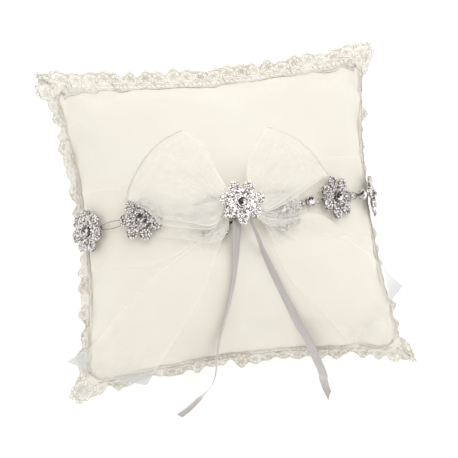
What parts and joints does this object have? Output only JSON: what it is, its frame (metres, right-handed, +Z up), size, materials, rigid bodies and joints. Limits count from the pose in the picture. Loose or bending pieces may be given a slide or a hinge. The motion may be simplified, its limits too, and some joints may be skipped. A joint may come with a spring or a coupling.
{
  "type": "ring bearer pillow",
  "caption": "Stuffed square ivory pillow with lace edging, a sheer sash and bow, a jewelled flower chain, a centre brooch and satin ribbons that tie wedding rings.",
  "frame": {"origin": "centre of the flat patch on the underside that the pillow rests on", "axes": "+X along the chain, towards the pillow's right edge as seen with the ribbons hanging down; +Y towards the top edge, away from the ribbons; +Z up, out of the front face"},
  "size_m": [0.2214, 0.2299, 0.0963],
  "materials": {
    "ivory_cloth": "matt ivory woven cover cloth with a faint sheen",
    "ivory_lace": "corded ivory lace, matt thread",
    "ivory_organza": "sheer crisp ivory organza",
    "white_fibre": "white fluffy fibre filling",
    "silver_satin": "silver grey satin with a soft lengthwise sheen",
    "silver_metal": "bright silver plated cast metal",
    "clear_crystal": "faceted clear foil backed crystal"
  },
  "bodies": {
    "root": {"fibre_filling": "white_fibre", "front_cover": "ivory_cloth", "back_cover": "ivory_cloth", "lace_edging": "ivory_lace", "organza_sash": "ivory_organza", "bow_knot": "ivory_organza", "brooch_setting": "silver_metal", "brooch_crystal": "clear_crystal", "flower_setting_1": "silver_metal", "flower_setting_2": "silver_metal", "flower_setting_3": "silver_metal", "flower_setting_5": "silver_metal", "flower_setting_6": "silver_metal", "flower_setting_7": "silver_metal", "flower_crystal_1": "clear_crystal", "flower_crystal_2": "clear_crystal", "flower_crystal_3": "clear_crystal", "flower_crystal_5": "clear_crystal", "flower_crystal_6": "clear_crystal", "flower_crystal_7": "clear_crystal", "wire_link_1": "silver_metal", "wire_link_2": "silver_metal", "wire_link_3": "silver_metal", "wire_link_4": "silver_metal", "wire_link_5": "silver_metal", "wire_link_6": "silver_metal", "wire_link_7": "silver_metal", "wire_link_8": "silver_metal", "wire_link_9": "silver_metal"},
    "bow_loop_left": {"bow_loop_left": "ivory_organza"},
    "bow_loop_right": {"bow_loop_right": "ivory_organza"},
    "bow_tail_left": {"bow_tail_left": "ivory_organza"},
    "bow_tail_right": {"bow_tail_right": "ivory_organza"},
    "ribbon_left": {"ribbon_left": "silver_satin"},
    "ribbon_right": {"ribbon_right": "silver_satin"},
    "crystal_1": {"crystal_cup_1": "silver_metal", "cup_crystal_1": "clear_crystal"},
    "crystal_2": {"crystal_cup_2": "silver_metal", "cup_crystal_2": "clear_crystal"},
    "crystal_3": {"crystal_cup_3": "silver_metal", "cup_crystal_3": "clear_crystal"},
    "crystal_4": {"crystal_cup_4": "silver_metal", "cup_crystal_4": "clear_crystal"}
  },
  "joints": [
    {"name": "loop_left_lift", "type": "hinge", "parent": "root", "child": "bow_loop_left", "pos_m": [-0.00771, 0.00345, 0.0875], "axis": [0.5, 0.866, 0], "range_deg": [0, 20]},
    {"name": "loop_right_lift", "type": "hinge", "parent": "root", "child": "bow_loop_right", "pos_m": [0.00755, 0.00372, 0.0875], "axis": [0.5299, -0.848, 0], "range_deg": [0, 20]},
    {"name": "tail_left_lift", "type": "hinge", "parent": "root", "child": "bow_tail_left", "pos_m": [-0.00807, -0.00476, 0.0855], "axis": [-0.4226, 0.9063, 0], "range_deg": [0, 20]},
    {"name": "tail_right_lift", "type": "hinge", "parent": "root", "child": "bow_tail_right", "pos_m": [0.00786, -0.00518, 0.0855], "axis": [-0.4695, -0.8829, 0], "range_deg": [0, 20]},
    {"name": "ribbon_left_lift", "type": "hinge", "parent": "root", "child": "ribbon_left", "pos_m": [-0.0038, -0.0099, 0.0874], "axis": [-1, 0, 0], "range_deg": [0, 30]},
    {"name": "ribbon_right_lift", "type": "hinge", "parent": "root", "child": "ribbon_right", "pos_m": [0.0038, -0.0099, 0.0874], "axis": [-1, 0, 0], "range_deg": [0, 30]},
    {"name": "crystal_1_rock", "type": "hinge", "parent": "root", "child": "crystal_1", "pos_m": [-0.03678, -0.00304, 0.07621], "axis": [0.969, 0.0022, 0.2469], "range_deg": [-8, 8]},
    {"name": "crystal_2_rock", "type": "hinge", "parent": "root", "child": "crystal_2", "pos_m": [0.00435, -0.00571, 0.0806], "axis": [0.9996, -0.0005, -0.0282], "range_deg": [-8, 8]},
    {"name": "crystal_3_rock", "type": "hinge", "parent": "root", "child": "crystal_3", "pos_m": [0.04507, -0.00145, 0.07384], "axis": [0.9512, -0.0013, -0.3086], "range_deg": [-8, 8]},
    {"name": "crystal_4_rock", "type": "hinge", "parent": "root", "child": "crystal_4", "pos_m": [0.08279, 0.00221, 0.05256], "axis": [0.7194, 0.0026, -0.6946], "range_deg": [-8, 8]}
  ]
}
